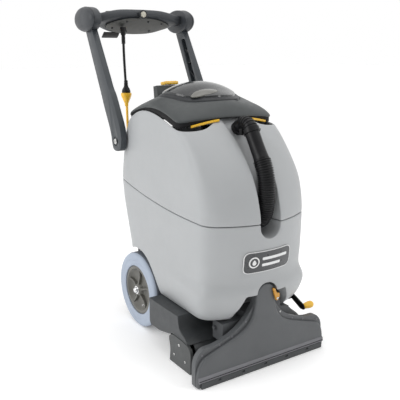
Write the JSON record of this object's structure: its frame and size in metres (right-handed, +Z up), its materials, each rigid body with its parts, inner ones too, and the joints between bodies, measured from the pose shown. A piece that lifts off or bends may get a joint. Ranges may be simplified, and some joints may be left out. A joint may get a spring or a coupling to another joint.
{
  "type": "carpet cleaner machine",
  "caption": "Walk-behind carpet extractor with two stacked tanks, hinged smoked lid, suction shoe, roller brush, rear wheels and a folding handle.",
  "frame": {"origin": "on the floor under the middle of the machine, without the loose mains cord", "axes": "+Z up, +Y towards the operator and the handle, -Y towards the suction shoe, X across, X = 0 on the mid-plane"},
  "size_m": [0.475, 0.9716, 1.051],
  "materials": {
    "tank": "satin",
    "lid_slate": "satin",
    "handle_slate": "satin",
    "black_plastic": "satin",
    "shoe_grey": "satin",
    "housing_grey": "satin",
    "brush_fibre": "matte",
    "yellow_plastic": "gloss",
    "amber_plastic": "gloss",
    "tyre_rubber": "matte",
    "hub_plastic": "satin",
    "frame_paint": "satin",
    "bright_steel": "polished",
    "smoked_clear": "gloss",
    "badge_face": "gloss",
    "button_grey": "satin",
    "motor_metal": "satin",
    "cord_sheath": "satin"
  },
  "bodies": {
    "machine": {"chassis_frame": "frame_paint", "rear_frame": "frame_paint", "axle": "bright_steel", "wheel_nut_left": "bright_steel", "wheel_nut_right": "bright_steel", "solution_tank": "tank", "recovery_tank": "tank", "badge_plate": "badge_face", "lid_hinge_pin": "bright_steel", "rim_grip_left": "yellow_plastic", "rim_grip_right": "yellow_plastic", "hose_elbow": "black_plastic", "recovery_hose": "black_plastic", "pivot_bolt_left": "bright_steel", "pivot_bolt_right": "bright_steel", "shoe_carrier": "shoe_grey", "brush_hood": "housing_grey", "brush_end_plate_left": "housing_grey", "brush_end_plate_right": "housing_grey", "drive_belt": "black_plastic", "brush_motor": "motor_metal", "motor_cover": "housing_grey", "vacuum_motor": "motor_metal", "solution_pump": "black_plastic", "standpipe": "black_plastic", "mains_cord": "cord_sheath", "cord_coil": "cord_sheath", "mains_plug": "yellow_plastic"},
    "handle": {"handle_arm_left": "handle_slate", "handle_arm_right": "handle_slate", "handle_cap_left": "handle_slate", "handle_cap_right": "handle_slate", "console": "handle_slate", "console_plate": "black_plastic", "cord_gland": "black_plastic", "lead_cord": "black_plastic", "cord_connector": "yellow_plastic"},
    "lid": {"lid": "lid_slate", "lid_window": "smoked_clear", "lid_gasket": "black_plastic", "lid_latch_bracket": "lid_slate"},
    "lid_latch": {"lid_latch": "yellow_plastic"},
    "wheel_left": {"tyre_left": "tyre_rubber", "wheel_hub_left": "hub_plastic"},
    "wheel_right": {"tyre_right": "tyre_rubber", "wheel_hub_right": "hub_plastic"},
    "shoe": {"shoe_front": "shoe_grey", "shoe_rear": "shoe_grey", "shoe_lip": "black_plastic"},
    "shoe_latch": {"shoe_latch": "amber_plastic"},
    "brush": {"brush_roll": "brush_fibre", "brush_pulley": "bright_steel"},
    "motor_pulley": {"motor_pulley": "bright_steel"},
    "lift_lever": {"lift_lever": "black_plastic", "lift_knob": "yellow_plastic"},
    "power_switch": {"power_switch": "black_plastic"},
    "spray_trigger": {"spray_trigger": "black_plastic"},
    "tilt_button": {"tilt_button": "button_grey"},
    "float_ball": {"float_ball": "button_grey"},
    "drain_cap": {"drain_cap": "black_plastic"}
  },
  "joints": [
    {"name": "handle_fold", "type": "hinge", "parent": "machine", "child": "handle", "pos_m": [0, 0.15, 0.618], "axis": [-1, 0, 0], "range_deg": [-11, 34], "deforming": ["mains_cord"]},
    {"name": "lid_hinge", "type": "hinge", "parent": "machine", "child": "lid", "pos_m": [0, 0.142, 0.703], "axis": [-1, 0, 0], "range_deg": [0, 75]},
    {"name": "lid_latch_hinge", "type": "hinge", "parent": "lid", "child": "lid_latch", "pos_m": [0, 0.133, 0.795], "axis": [-1, 0, 0], "range_deg": [0, 40]},
    {"name": "wheel_left_spin", "type": "hinge", "parent": "machine", "child": "wheel_left", "pos_m": [-0.151, 0.055, 0.127], "axis": [1, 0, 0], "continuous": true},
    {"name": "wheel_right_spin", "type": "hinge", "parent": "machine", "child": "wheel_right", "pos_m": [0.151, 0.055, 0.127], "axis": [1, 0, 0], "continuous": true},
    {"name": "shoe_lift", "type": "hinge", "parent": "machine", "child": "shoe", "pos_m": [0, -0.33, 0.13], "axis": [-1, 0, 0], "range_deg": [0, 11.4]},
    {"name": "lift_lever_turn", "type": "hinge", "parent": "machine", "child": "lift_lever", "pos_m": [0.194, -0.3, 0.148], "axis": [-1, 0, 0], "range_deg": [0, 28.6]},
    {"name": "shoe_latch_turn", "type": "hinge", "parent": "shoe", "child": "shoe_latch", "pos_m": [0.036, -0.405, 0.209], "axis": [0, -1, 0], "range_deg": [0, 40]},
    {"name": "brush_spin", "type": "hinge", "parent": "machine", "child": "brush", "pos_m": [0, -0.27, 0.04], "axis": [1, 0, 0], "continuous": true},
    {"name": "motor_pulley_spin", "type": "hinge", "parent": "machine", "child": "motor_pulley", "pos_m": [-0.194, -0.175, 0.112], "axis": [1, 0, 0], "continuous": true},
    {"name": "power_switch_rock", "type": "hinge", "parent": "handle", "child": "power_switch", "pos_m": [0, 0.36032, 1.02274], "axis": [1, 0, 0], "range_deg": [0, 8]},
    {"name": "spray_trigger_squeeze", "type": "hinge", "parent": "handle", "child": "spray_trigger", "pos_m": [-0.082, 0.3759, 0.9699], "axis": [1, 0, 0], "range_deg": [0, 6], "stiffness_Nm_per_rad": 0.5},
    {"name": "tilt_button_press", "type": "slide", "parent": "handle", "child": "tilt_button", "axis": [0, 1, 0], "range_m": [0, 0.004], "stiffness_N_per_m": 300},
    {"name": "float_ball_rise", "type": "slide", "parent": "machine", "child": "float_ball", "axis": [0, 0, 1], "range_m": [0, 0.03]},
    {"name": "drain_cap_turn", "type": "hinge", "parent": "machine", "child": "drain_cap", "pos_m": [0, 0.1942, 0.545], "axis": [0, 1, 0], "range_deg": [0, 90]}
  ],
  "couplings": [
    {"joint": "lift_lever_turn", "follows": "shoe_lift", "ratio": 2.5},
    {"joint": "motor_pulley_spin", "follows": "brush_spin", "ratio": 1.8}
  ]
}
